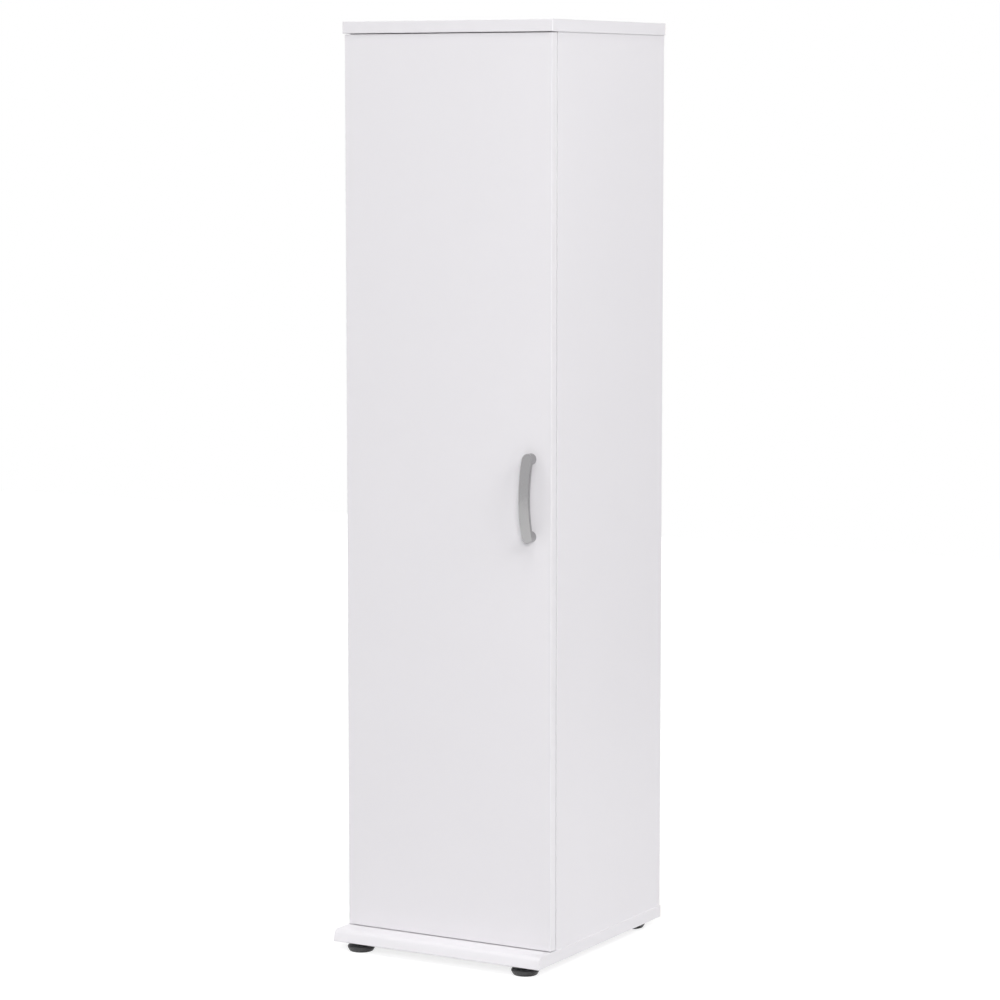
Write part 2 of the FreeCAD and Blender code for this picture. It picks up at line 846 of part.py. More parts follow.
def handle():
    """A flat bow with round ends, on two round posts that are cast with it."""
    half_spacing = handle_hole_spacing / 2
    half_width = handle_width / 2
    rise = handle_rise_at_middle - handle_rise_at_posts
    bow_radius = (half_spacing**2 + rise**2) / (2 * rise)
    axis_y = door_front_y - handle_rise_at_middle + bow_radius
    axis_start = Vector(handle_x - handle_width, axis_y, door_middle_z)
    outside = rod(bow_radius, axis_start, X_AXIS, 2 * handle_width)
    inside = rod(bow_radius - handle_bow_thickness, axis_start, X_AXIS, 2 * handle_width)
    posts = [
        rod(half_width, Vector(handle_x, door_front_y, z), -Y_AXIS, handle_rise_at_middle)
        for z in post_heights
    ]
    strap = box(
        handle_x - half_width,
        handle_x + half_width,
        door_front_y - handle_rise_at_middle - handle_bow_thickness,
        door_front_y,
        door_middle_z - half_spacing,
        door_middle_z + half_spacing,
    )
    block = strap.multiFuse(posts).removeSplitter().common(outside)
    finger_gap = box(
        handle_x - handle_width,
        handle_x + handle_width,
        door_front_y - handle_rise_at_middle,
        door_front_y + handle_bow_thickness,
        door_middle_z - half_spacing,
        door_middle_z + half_spacing,
    )
    casting = block.cut(finger_gap.common(inside).cut(posts))
    face_edges = edges_where(casting, lambda p: near(distance_from_axis(p, axis_start), bow_radius))
    casting = casting.makeFillet(handle_edge_round, face_edges)
    taps = [
        rod(handle_screw_radius, Vector(handle_x, door_front_y, z), -Y_AXIS, handle_screw_engagement)
        for z in post_heights
    ]
    return casting.cut(taps)


def distance_from_axis(point, axis_point):
    """Distance of a point from a line along X through axis_point."""
    return math.hypot(point.y - axis_point.y, point.z - axis_point.z)


def pan_head_screw(seat, direction, shank_radius, shank_length, head_radius, head_height):
    """A screw whose head stands on seat and whose shank runs along direction."""
    points = [
        (0, -head_height),
        (head_radius * head_flat_share, -head_height),
        (head_radius * head_shoulder_share, -head_height * head_shoulder_height_share),
        (head_radius, 0),
        (shank_radius, 0),
        (shank_radius, shank_length),
        (0, shank_length),
    ]
    return turned(points, seat, direction)


def handle_screws():
    length = door_thickness + handle_screw_engagement
    for z in post_heights:
        seat = Vector(handle_x, door_back_y, z)
        yield pan_head_screw(
            seat, -Y_AXIS, handle_screw_radius, length, screw_head_radius, screw_head_height
        )


def door_bumpers():
    thickness = door_gap - bumper_free_gap
    for z in bumper_heights:
        yield rod(bumper_radius, Vector(bumper_x, door_back_y, z), Y_AXIS, thickness)


# ---------------------------------------------------------------------------------------------
# Feet
# ---------------------------------------------------------------------------------------------

foot_x = outer_x - foot_side_inset
foot_places = {
    "front_left": Vector(-foot_x, base_front_y + foot_front_inset, 0),
    "front_right": Vector(foot_x, base_front_y + foot_front_inset, 0),
    "rear_left": Vector(-foot_x, rear_y - foot_rear_inset, 0),
    "rear_right": Vector(foot_x, rear_y - foot_rear_inset, 0),
}
foot_top_z = foot_height - socket_flange_thickness


def foot_pad(place):
    """A moulded glide: flared sole, rounded rim, shallow cone and a neck round the stem."""
    corners = [
        (foot_sole_radius, 0, foot_sole_round),
        (foot_rim_radius, foot_rim_height, foot_rim_round),
        (foot_neck_radius, foot_cone_height, foot_neck_round),
    ]
    outline = [(radius, height) for radius, height, _ in corners]
    pad = turned([(0, 0)] + outline + [(foot_neck_radius, foot_top_z), (0, foot_top_z)], place)
    for radius, height, rounding in corners:
        ring = [
            edge
            for edge in pad.Edges
            if edge.Curve.TypeId == "Part::GeomCircle"
            and near(edge.Curve.Radius, radius)
            and near(edge.Curve.Center.z, height)
        ]
        pad = pad.makeFillet(rounding, ring)
    return pad.cut(rod(stem_radius, place + Z_AXIS * stem_root_height, Z_AXIS, foot_height))


def foot_stem(place):
    top_z = foot_height + stem_engagement
    points = [
        (0, stem_root_height),
        (stem_radius, stem_root_height),
        (stem_radius, top_z - stem_chamfer),
        (stem_radius - stem_chamfer, top_z),
        (0, top_z),
    ]
    return turned(points, place)


def foot_socket(place):
    """A flanged insert pressed into the base board from below."""
    bore_radius = stem_radius + stem_running_clearance
    points = [
        (bore_radius, foot_top_z),
        (socket_flange_radius, foot_top_z),
        (socket_flange_radius, foot_height),
        (socket_radius, foot_height),
        (socket_radius, foot_height + socket_length),
        (bore_radius, foot_height + socket_length),
    ]
    return turned(points, place)


def socket_bores():
    for place in foot_places.values():
        yield rod(socket_radius, place + Z_AXIS * foot_height, Z_AXIS, socket_length)


# ---------------------------------------------------------------------------------------------
# Build every piece
# ---------------------------------------------------------------------------------------------

os.makedirs("parts", exist_ok=True)

cam_seams, dowel_seams = all_seams()


def bores_for(name):
    return seam_bores(name, cam_seams, dowel_seams)


# Carcass
hinge_screw_bores = [bore for z in hinge_heights for bore in plate_screw_bores(z)]
left_panel, left_edging = side_panel(LEFT, bores_for("left_side_panel") + hinge_screw_bores)
right_panel, right_edging = side_panel(RIGHT, bores_for("right_side_panel"))
save("left_side_panel", left_panel)
save("right_side_panel", right_panel)
save("side_panel_edging", left_edging, right_edging)
save("top_board", top_board(bores_for("top_board")))
save("base_board", base_board(bores_for("base_board") + list(socket_bores())))
save("back_panel", back_panel())

fixed_board, fixed_edging = shelf(fixed_shelf_under_z, 0)
loose_under_z = pin_middle_row_z + pin_radius
loose_board, loose_edging = shelf(loose_under_z, shelf_side_clearance)
save("fixed_shelf", drilled(fixed_board, bores_for("fixed_shelf")))
save("adjustable_shelf", loose_board)
save("shelf_edging", fixed_edging, loose_edging)

middle_pins = [
    shelf_pin(side, hole)
    for side in (LEFT, RIGHT)
    for hole in pin_points(side)
    if near(hole.z, pin_middle_row_z)
]
save("shelf_pins", *middle_pins)
save("cam_locks", *[cam_lock(seam) for seam in cam_seams])
save("cam_bolts", *[cam_bolt(seam) for seam in cam_seams])
save("dowels", *[dowel(seam) for seam in dowel_seams])

# Hinges
for place, z in hinge_places.items():
    save("hinge_mounting_plate_" + place, mounting_plate(z))
    save("hinge_arm_" + place, hinge_arm(z))
    save("hinge_outer_link_" + place, outer_link(z))
    save("hinge_inner_link_" + place, inner_link(z))
    save("hinge_cup_" + place, hinge_cup(z))
save("hinge_arm_pins", *[piece for z in hinge_heights for piece in arm_pins(z)])
save("hinge_cup_pins", *[piece for z in hinge_heights for piece in cup_pins(z)])
save("hinge_arm_screws", *[screw for z in hinge_heights for screw in arm_screws(z)])
save("hinge_plate_screws", *[screw for z in hinge_heights for screw in plate_screws(z)])
save("hinge_cup_screws", *[screw for z in hinge_heights for screw in cup_screws(z)])

# Door
save("door_panel", door_panel())
save("door_edging", *door_edging_strips())
save("handle", handle())
save("handle_screws", *handle_screws())
save("door_bumpers", *door_bumpers())

# Feet
save("foot_sockets", *[foot_socket(place) for place in foot_places.values()])
for name, place in foot_places.items():
    save("foot_pad_" + name, foot_pad(place))
    save("foot_stem_" + name, foot_stem(place))
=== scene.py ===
# %% [markdown]
# # A broom cupboard in a white studio
#
# The construction model already holds every board, hinge link, screw and foot at its real size.
# This lesson dresses it: a camera, a white studio, one material for each finish, and a few small
# turned parts whose threads and screwdriver recesses are finer than the construction model's.
# No piece is placed by eye: where each one goes is read from the model.

import json
import math

import bmesh
import bpy
from mathutils import Matrix, Vector


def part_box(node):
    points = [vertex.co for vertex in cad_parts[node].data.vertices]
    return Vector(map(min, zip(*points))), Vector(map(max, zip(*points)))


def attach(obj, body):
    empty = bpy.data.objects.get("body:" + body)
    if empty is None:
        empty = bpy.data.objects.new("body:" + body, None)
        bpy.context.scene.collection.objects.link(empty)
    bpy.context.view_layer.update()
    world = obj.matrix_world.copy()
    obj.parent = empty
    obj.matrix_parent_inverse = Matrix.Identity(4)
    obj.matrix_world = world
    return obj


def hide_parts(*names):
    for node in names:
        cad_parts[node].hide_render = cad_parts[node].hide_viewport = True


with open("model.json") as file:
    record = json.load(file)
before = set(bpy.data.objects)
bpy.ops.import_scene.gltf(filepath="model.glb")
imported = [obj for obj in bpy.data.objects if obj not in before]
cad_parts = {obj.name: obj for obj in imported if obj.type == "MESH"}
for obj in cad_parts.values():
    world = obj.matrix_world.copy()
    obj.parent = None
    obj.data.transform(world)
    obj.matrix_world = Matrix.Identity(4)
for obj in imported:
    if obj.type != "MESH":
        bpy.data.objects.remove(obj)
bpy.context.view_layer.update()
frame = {"nodes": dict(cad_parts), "record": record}
nodes = frame["nodes"]
scene = bpy.context.scene
MM = 0.001

# %% [markdown]
# ## The camera
#
# The cupboard is seen from its front right corner with a long lens, so its boards look nearly
# parallel. A camera object looks down its own -Z axis, so a pitch of 90 degrees points it at the
# horizon, and the yaw then turns it to the left. The picture plane isn't shifted: a shift would
# push the cupboard out of the frame as soon as the camera walks round it.

# %% Camera at the front right corner
CAMERA_PLACE = Vector((2.892, -4.997, 1.438))
CAMERA_YAW = math.radians(30.05)
CAMERA_PITCH = math.radians(-6.67)
LENS_MM = 122.7
SENSOR_MM = 36.0

camera_data = bpy.data.cameras.new("camera")
camera_data.lens = LENS_MM
camera_data.sensor_width = SENSOR_MM
camera_data.clip_end = 100.0
camera = bpy.data.objects.new("camera", camera_data)
camera.location = CAMERA_PLACE
camera.rotation_euler = (math.radians(90) + CAMERA_PITCH, 0, CAMERA_YAW)
scene.collection.objects.link(camera)
scene.camera = camera
print(f"camera {camera.location.length:.2f} m from the cupboard's foot")

# %% [markdown]
# ## Building node trees
#
# A material is a graph, and Python can build it node by node. The small class below keeps that
# readable: one call adds a node, sets its sockets by name or number and links values. A value that
# is another node's output is linked, and any other value is written on the socket itself.

# %% A short way to write node graphs
NOISE_LOW, NOISE_HIGH = 0.3, 0.7  # nearly all of a noise lies between these


class Graph:
    """Adds nodes to one node tree."""

    def __init__(self, tree):
        self.tree = tree

    def node(self, kind, sockets=None, **settings):
        made = self.tree.nodes.new(kind)
        for key, value in settings.items():
            setattr(made, key, value)
        for key, value in (sockets or {}).items():
            self.feed(made.inputs[key], value)
        return made

    def feed(self, socket, value):
        if isinstance(value, bpy.types.NodeSocket):
            self.tree.links.new(value, socket)
        else:
            socket.default_value = value

    def math(self, operation, a, b=0.0, clamp=False):
        made = self.node("ShaderNodeMath", {0: a, 1: b}, operation=operation, use_clamp=clamp)
        return made.outputs[0]

    def mix_colour(self, share, a, b):
        made = self.node("ShaderNodeMix", data_type="RGBA")
        for index, value in ((0, share), (6, a), (7, b)):
            self.feed(made.inputs[index], value)
        return made.outputs[2]

    def spread(self, value, from_low, from_high, to_low, to_high):
        sockets = {0: value, 1: from_low, 2: from_high, 3: to_low, 4: to_high}
        return self.node("ShaderNodeMapRange", sockets).outputs[0]

    def wander(self, noise, low, high):
        """A value that goes from low to high with a noise."""
        return self.spread(noise, NOISE_LOW, NOISE_HIGH, low, high)

    def place(self):
        """The place of each point of the surface, in object coordinates."""
        return self.node("ShaderNodeTexCoord").outputs["Object"]


def new_group(name, inputs, outputs):
    """An empty effect: a shader node group with named inputs and outputs."""
    group = bpy.data.node_groups.new(name, "ShaderNodeTree")
    for label, kind, default in inputs:
        socket = group.interface.new_socket(label, in_out="INPUT", socket_type=kind)
        socket.default_value = default
    for label, kind in outputs:
        group.interface.new_socket(label, in_out="OUTPUT", socket_type=kind)
    graph = Graph(group)
    return group, graph, graph.node("NodeGroupInput").outputs, graph.node("NodeGroupOutput").inputs


NUMBER = "NodeSocketFloat"
COLOUR = "NodeSocketColor"
VECTOR = "NodeSocketVector"
print("graph helpers ready")

# %% [markdown]
# ## The studio
#
# The floor and the world are what the camera, and every polished surface, sees as plain white.
# Light Path tells a material what kind of ray has arrived. To a ray from the camera, or one that
# passed through clear plastic, the floor adds a glow that lifts it to white and leaves a soft
# shadow under the cupboard. A ray that bounced off something polished sees more paint and less
# glow, so the glossy feet mirror a white floor that darkens where they touch it. To diffuse light
# it is an ordinary pale floor, and lights the boards from below as a real one would.

# %% White floor and white world
FLOOR_HALF_SIZE = 5.0
FLOOR_BOUNCE = (0.74, 0.735, 0.745, 1)
SEEN_PAINT, SEEN_GLOW = (0.40, 0.40, 0.40, 1), 0.78
MIRRORED_PAINT, MIRRORED_GLOW = (0.78, 0.78, 0.78, 1), 0.34
SKY = (0.15, 0.15, 0.152, 1)


def ray_kinds(graph):
    """Two shares, 0 or 1: seen by eye or through clear plastic, and mirrored in a surface."""
    path = graph.node("ShaderNodeLightPath").outputs
    seen = graph.math("ADD", path["Is Camera Ray"], path["Is Transmission Ray"], clamp=True)
    return seen, path["Is Glossy Ray"]


def paint_and_glow(graph, paint, glow):
    diffuse = graph.node("ShaderNodeBsdfDiffuse", {"Color": paint}).outputs[0]
    light = graph.node("ShaderNodeEmission", {"Strength": glow}).outputs[0]
    return graph.node("ShaderNodeAddShader", {0: diffuse, 1: light}).outputs[0]


def blank_material(name):
    """A material whose graph is still empty."""
    material = bpy.data.materials.new(name)
    material.use_nodes = True
    material.node_tree.nodes.clear()
    return material, Graph(material.node_tree)


def paint_floor():
    material, graph = blank_material("studio_floor")
    seen, mirrored = ray_kinds(graph)
    surface = graph.node("ShaderNodeBsdfDiffuse", {"Color": FLOOR_BOUNCE}).outputs[0]
    for share, paint, glow in (
        (mirrored, MIRRORED_PAINT, MIRRORED_GLOW),
        (seen, SEEN_PAINT, SEEN_GLOW),
    ):
        shown = paint_and_glow(graph, paint, glow)
        surface = graph.node("ShaderNodeMixShader", {0: share, 1: surface, 2: shown}).outputs[0]
    graph.node("ShaderNodeOutputMaterial", {"Surface": surface})
    return material


def make_floor():
    mesh = bpy.data.meshes.new("studio_floor")
    half = FLOOR_HALF_SIZE
    corners = [(-half, -half, 0), (half, -half, 0), (half, half, 0), (-half, half, 0)]
    mesh.from_pydata(corners, [], [(0, 1, 2, 3)])
    mesh.materials.append(paint_floor())
    floor = bpy.data.objects.new("studio_floor", mesh)
    scene.collection.objects.link(floor)


def paint_world():
    world = bpy.data.worlds.new("studio")
    world.use_nodes = True
    world.node_tree.nodes.clear()
    graph = Graph(world.node_tree)
    sky = graph.node("ShaderNodeBackground", {"Color": SKY}).outputs[0]
    white = graph.node("ShaderNodeBackground", {"Color": (1, 1, 1, 1)}).outputs[0]
    share = graph.math("ADD", *ray_kinds(graph), clamp=True)
    surface = graph.node("ShaderNodeMixShader", {0: share, 1: sky, 2: white}).outputs[0]
    graph.node("ShaderNodeOutputWorld", {"Surface": surface})
    scene.world = world


make_floor()
paint_world()
scene.view_settings.view_transform = "Standard"
print("white floor and world")

# %% [markdown]
# ## The lamps
#
# An evenly white room would light every board alike and draw a dark line in every gap. So most of
# the light comes from softboxes, and the room only fills in. The key softbox hangs a little to the
# right of the camera: from there it shines into the gap behind the door, and the handle's shadow
# falls to the left, behind the handle itself. One softbox at the right keeps the side panel as
# bright as the door, a weak one at the left softens the shadows, one overhead makes the upward
# faces the lightest, and one stands behind on the left for anyone who walks round. Each is placed
# by its bearing, its height above the horizon and its distance. Far lamps light the bottom of a
# tall cupboard nearly as well as its top.
#
# An area lamp shines along its own -Z, so it is turned to look at the cupboard. Polished surfaces
# don't see the softboxes. On the metal they would show as glaring squares, and from behind the
# smooth top board would mirror the key softbox and burn out to white.

# %% Softboxes
LAMP_TARGET = Vector((0, 0, 0.8))
# name: (degrees to the right of straight in front, degrees up, metres away, metres wide, watts)
SOFTBOXES = {
    "key_softbox": (33, 22, 10.0, 3.5, 394),
    "side_softbox": (74, 35, 6.0, 2.2, 150),
    "overhead_softbox": (28, 66, 9.0, 3.6, 256),
    "left_softbox": (-45, 25, 9.0, 2.0, 62),
    "rear_softbox": (222, 12, 9.0, 3.2, 330),
}


def hang_softbox(name, bearing, up, distance, size, watts):
    data = bpy.data.lights.new(name, "AREA")
    data.size = size
    data.energy = watts
    lamp = bpy.data.objects.new(name, data)
    toward = Vector((0, -1, 0))
    toward.rotate(Matrix.Rotation(-math.radians(up), 3, "X"))
    toward.rotate(Matrix.Rotation(math.radians(bearing), 3, "Z"))
    lamp.location = LAMP_TARGET + toward * distance
    lamp.rotation_euler = toward.to_track_quat("Z", "Y").to_euler()
    lamp.visible_camera = lamp.visible_glossy = False
    scene.collection.objects.link(lamp)
    return lamp


for name, values in SOFTBOXES.items():
    softbox = hang_softbox(name, *values)
    print(f"{name} at", [round(v, 2) for v in softbox.location])

# %% [markdown]
# A bow handle is a curved mirror, and in an all-white room it has nothing to show. Photographers
# stand cards round the set for this. The grey card here curves round the front and gives the
# handle's face its tone, and a darker one at the right and behind draws its edge. Both are seen by
# polished surfaces alone: they light nothing, cast nothing and never show in the picture.

# %% Cards for the metal to reflect
CARD_LOW = -0.01  # metres: the cards start just under the floor
CARD_STEP = 6.5  # degrees round the cupboard for each flat strip of a card
# name: (tone, metres away, metres high, from, to). The last two are degrees round the cupboard,
# counted from its right side towards its back.
CARDS = {
    "grey_card": ((0.86, 0.86, 0.87, 1), 6.0, 9.0, 150, 310),
    "dark_card": ((0.26, 0.26, 0.27, 1), 2.2, 3.0, -20, 80),
}


def stand_card(name, tone, away, high, first, last):
    """A curved wall that only polished surfaces can see."""
    count = round((last - first) / CARD_STEP)
    verts = []
    for step in range(count + 1):
        bearing = math.radians(first + (last - first) * step / count)
        x, y = away * math.cos(bearing), away * math.sin(bearing)
        verts += [(x, y, CARD_LOW), (x, y, high)]
    faces = [(2 * i, 2 * i + 2, 2 * i + 3, 2 * i + 1) for i in range(count)]
    mesh = bpy.data.meshes.new(name)
    mesh.from_pydata(verts, [], faces)
    material, graph = blank_material(name)
    shine = graph.node("ShaderNodeEmission", {"Color": tone}).outputs[0]
    graph.node("ShaderNodeOutputMaterial", {"Surface": shine})
    mesh.materials.append(material)
    card = bpy.data.objects.new(name, mesh)
    card.visible_camera = card.visible_diffuse = card.visible_shadow = False
    card.visible_transmission = False
    scene.collection.objects.link(card)


for name, values in CARDS.items():
    stand_card(name, *values)
    print(f"{name} over {values[4] - values[3]} degrees")

# %% [markdown]
# ## Effects that several finishes share
#
# Each effect is a node group: a small machine with named inputs and outputs that any material can
# use with its own values. They work in object coordinates, which for this model are metres in the
# cupboard's own frame, so a grain of 2 mm is written as 2 mm and stays put when the door swings.

# %% Effect: the faint waviness of pressed sheet
def scaled_noise(graph, coordinates, cell, detail=2.0):
    """Noise with cells of a given size in metres."""
    scale = graph.math("DIVIDE", 1.0, cell)
    sockets = {"Vector": coordinates, "Scale": scale, "Detail": detail}
    return graph.node("ShaderNodeTexNoise", sockets).outputs["Fac"]


def build_sheet_waviness():
    """Soft dimples left by the press plate, and a slow drift of tone over the board."""
    group, graph, given, out = new_group(
        "sheet_waviness",
        [("Dimple Size", NUMBER, 1.4 * MM), ("Drift Size", NUMBER, 0.25), ("Drift", NUMBER, 0.01)],
        [("Height", NUMBER), ("Tone", NUMBER)],
    )
    place = graph.place()
    dimples = scaled_noise(graph, place, given["Dimple Size"], 1.0)
    drift = scaled_noise(graph, place, given["Drift Size"], 1.0)
    centred = graph.math("SUBTRACT", drift, 0.5)
    tone = graph.math("ADD", graph.math("MULTIPLY", centred, given["Drift"]), 1.0)
    graph.feed(out["Height"], dimples)
    graph.feed(out["Tone"], tone)
    return group


sheet_waviness = build_sheet_waviness()
print("effect:", sheet_waviness.name)

# %% [markdown]
# Melamine board is thin paper on pressed chips. Wherever the board was cut or drilled and not
# edged, the chips show: along the rear edges and inside the shelf-pin holes. Voronoi cells of
# random tone, mixed with a fibrous noise, read as chips at this scale.

# %% Effect: raw chipboard
CHIP_PALE = (0.62, 0.46, 0.28, 1)
CHIP_DARK = (0.30, 0.19, 0.10, 1)


def build_chipboard():
    group, graph, given, out = new_group(
        "chipboard",
        [("Chip Size", NUMBER, 1.6 * MM)],
        [("Color", COLOUR), ("Height", NUMBER)],
    )
    place = graph.place()
    density = graph.math("DIVIDE", 1.0, given["Chip Size"])
    sockets = {"Vector": place, "Scale": density, "Randomness": 1.0}
    chips = graph.node("ShaderNodeTexVoronoi", sockets).outputs
    tone = graph.node("ShaderNodeSeparateColor", {0: chips["Color"]}).outputs[0]
    fibres = scaled_noise(graph, place, given["Chip Size"], 4.0)
    share = graph.math("MULTIPLY", graph.math("ADD", tone, fibres), 0.5)
    graph.feed(out["Color"], graph.mix_colour(share, CHIP_DARK, CHIP_PALE))
    graph.feed(out["Height"], share)
    return group


def build_between():
    """1 where a coordinate lies between two faces and clear of both, otherwise 0."""
    group, graph, given, out = new_group(
        "between_faces",
        [("Coordinate", NUMBER, 0.0), ("Low Face", NUMBER, 0.0), ("High Face", NUMBER, 1.0)],
        [("Mask", NUMBER)],
    )
    above = graph.math("GREATER_THAN", given["Coordinate"], given["Low Face"])
    below = graph.math("LESS_THAN", given["Coordinate"], given["High Face"])
    graph.feed(out["Mask"], graph.math("MULTIPLY", above, below))
    return group


chipboard = build_chipboard()
between_faces = build_between()
print("effects:", chipboard.name, between_faces.name)

# %% [markdown]
# Rolled, brushed and plated metal differ mostly in how their fine grain runs. One group makes a
# grain that can be stretched along any axis: a brushed strap gets long thin streaks, a casting
# gets round ones.

# %% Effect: metal grain
def build_metal_grain():
    group, graph, given, out = new_group(
        "metal_grain",
        [("Grain Size", VECTOR, (MM, MM, MM)), ("Cloud Size", NUMBER, 0.02)],
        [("Grain", NUMBER), ("Cloud", NUMBER)],
    )
    place = graph.place()
    sockets = {0: place, 1: given["Grain Size"]}
    stretched = graph.node("ShaderNodeVectorMath", sockets, operation="DIVIDE").outputs[0]
    grain = graph.node("ShaderNodeTexNoise", {"Vector": stretched, "Scale": 1.0, "Detail": 3.0})
    graph.feed(out["Grain"], grain.outputs["Fac"])
    graph.feed(out["Cloud"], scaled_noise(graph, place, given["Cloud Size"]))
    return group


metal_grain = build_metal_grain()
print("effect:", metal_grain.name)

# %% [markdown]
# ## Finishes
#
# Every finish is one Principled BSDF with its own values, fed by the effects above. A colour or
# number that is the same all over the surface is written on the shader's socket, and only what
# changes over the surface is linked.

# %% Helpers for materials
def start_material(name):
    """A new material with one Principled BSDF, and a graph to feed it."""
    material = bpy.data.materials.new(name)
    material.use_nodes = True
    shader = next(n for n in material.node_tree.nodes if n.type == "BSDF_PRINCIPLED")
    return material, Graph(material.node_tree), shader.inputs


def use_effect(graph, group, **sockets):
    """Places an effect in a material. Socket names are given with _ for each space."""
    made = graph.node("ShaderNodeGroup", node_tree=group)
    for label, value in sockets.items():
        graph.feed(made.inputs[label.replace("_", " ")], value)
    return made.outputs


def bump(graph, height, depth, distance=MM):
    """A normal that follows a height: 1 stands for distance, in metres, and depth is its strength."""
    sockets = {"Height": height, "Strength": depth, "Distance": distance}
    return graph.node("ShaderNodeBump", sockets).outputs[0]


def object_axis(graph, axis):
    return graph.node("ShaderNodeSeparateXYZ", {0: graph.place()}).outputs[axis]


finishes = {}
print("material helpers ready")

# %% [markdown]
# ### White melamine board
#
# The door, sides, shelves, top and base share one white. It is not pure white, and it leans very
# slightly to lilac. The surface is a smooth satin: fairly rough, with dimples too shallow to see
# except in a grazing highlight.

# %% White laminate, and the same with its cut edges
WHITE = (0.830, 0.815, 0.838, 1)
SKIN = 0.3 * MM  # thickness of the paper and a little of the board under it
CUT_ROUGHER = 0.4  # how much cut board adds to the roughness
CHIP_RELIEF = 30.0  # how much deeper the chips are than the dimples
side_low, side_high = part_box("right_side_panel")
board_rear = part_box("top_board")[1].y


def white_laminate(name, raw=None):
    """raw makes the mask of cut board, for a piece that shows any."""
    material, graph, shader = start_material(name)
    waves = use_effect(graph, sheet_waviness)
    sockets = {0: WHITE[:3], 3: waves["Tone"]}
    colour = graph.node("ShaderNodeVectorMath", sockets, operation="SCALE").outputs[0]
    rough = graph.wander(waves["Height"], 0.40, 0.46)
    height = waves["Height"]
    if raw:
        mask = raw(graph)
        chips = use_effect(graph, chipboard)
        colour = graph.mix_colour(mask, colour, chips["Color"])
        rough = graph.math("ADD", rough, graph.math("MULTIPLY", mask, CUT_ROUGHER))
        deep = graph.math("MULTIPLY", chips["Height"], graph.math("MULTIPLY", mask, CHIP_RELIEF))
        height = graph.math("ADD", height, deep)
    graph.feed(shader["Base Color"], colour)
    graph.feed(shader["Roughness"], rough)
    graph.feed(shader["Normal"], bump(graph, height, depth=0.02))
    return material


def inside_side_panel(graph):
    """Cut board between the two faces of a side panel: its rear edge and its holes."""
    across = graph.math("ABSOLUTE", object_axis(graph, "X"))
    low, high = side_low.x + SKIN, side_high.x - SKIN
    mask = use_effect(graph, between_faces, Coordinate=across, Low_Face=low, High_Face=high)
    return mask["Mask"]


def rear_edge(graph):
    """Cut board along the rear edge of the top and base boards, between their two skins."""
    return graph.math("GREATER_THAN", object_axis(graph, "Y"), board_rear - SKIN)


finishes["white_laminate"] = white_laminate("white_laminate")
finishes["side_laminate"] = white_laminate("white_laminate_with_cut_edges", inside_side_panel)
finishes["board_laminate"] = white_laminate("white_laminate_with_cut_rear", rear_edge)
print("white laminate: plain, sides, top and base")

# %% [markdown]
# ### Edging and back panel
#
# The edging is a plastic strip, a little smoother and paler than the melamine. The back is thin
# hardboard: lacquered white towards the inside, and bare brown fibre behind.

# %% Edging and hardboard
EDGING_WHITE = (0.850, 0.835, 0.856, 1)
FIBRE_PALE = (0.37, 0.255, 0.160, 1)
FIBRE_DARK = (0.235, 0.150, 0.088, 1)
FIBRE_GRAIN = (3.5 * MM, MM, 1.2 * MM)
CLOUD_SHARE = 0.4  # how much the clouds count beside the grain
FIBRE_LOW, FIBRE_HIGH = 0.45, 0.95  # nearly all of grain and clouds together lies between these
LACQUER_ROUGH, FIBRE_ROUGH = 0.38, 0.78
LACQUER_RELIEF, FIBRE_RELIEF = 0.08, 1.0
back_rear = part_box("back_panel")[1].y


def white_edging():
    material, graph, shader = start_material("white_edging")
    waves = use_effect(graph, sheet_waviness, Dimple_Size=0.9 * MM)
    shader["Base Color"].default_value = EDGING_WHITE
    graph.feed(shader["Roughness"], graph.wander(waves["Height"], 0.32, 0.38))
    graph.feed(shader["Normal"], bump(graph, waves["Height"], depth=0.015))
    return material


def white_hardboard():
    material, graph, shader = start_material("white_hardboard")
    behind = graph.math("GREATER_THAN", object_axis(graph, "Y"), back_rear - SKIN)
    fibres = use_effect(graph, metal_grain, Grain_Size=FIBRE_GRAIN, Cloud_Size=14 * MM)
    clouds = graph.math("MULTIPLY", fibres["Cloud"], CLOUD_SHARE)
    share = graph.math("ADD", fibres["Grain"], clouds)
    pale = graph.spread(share, FIBRE_LOW, FIBRE_HIGH, 0, 1)
    brown = graph.mix_colour(pale, FIBRE_DARK, FIBRE_PALE)
    graph.feed(shader["Base Color"], graph.mix_colour(behind, WHITE, brown))
    graph.feed(shader["Roughness"], graph.spread(behind, 0, 1, LACQUER_ROUGH, FIBRE_ROUGH))
    relief = graph.spread(behind, 0, 1, LACQUER_RELIEF, FIBRE_RELIEF)
    height = graph.math("MULTIPLY", fibres["Grain"], relief)
    graph.feed(shader["Normal"], bump(graph, height, depth=0.12))
    return material


finishes["white_edging"] = white_edging()
finishes["white_hardboard"] = white_hardboard()
print("edging and hardboard")

# %% [markdown]
# ### Metals
#
# The handle is satin nickel on a casting, brushed along its length. The hinges, their screws and
# the shelf pins have a bright nickel plate, and the hinges turn on bright steel pins. The handle's
# screws, the cam bolts and the foot stems are zinc plated, and the cam locks are bare castings.
# One function makes them all. What changes is the colour, how far the roughness wanders, and the
# size and depth of the grain.

# %% Metal finishes
MARKS_LOW, MARKS_HIGH = 0.35, 0.65  # most of a metal's marks lie between these
GRAIN_DEPTH = 0.1 * MM


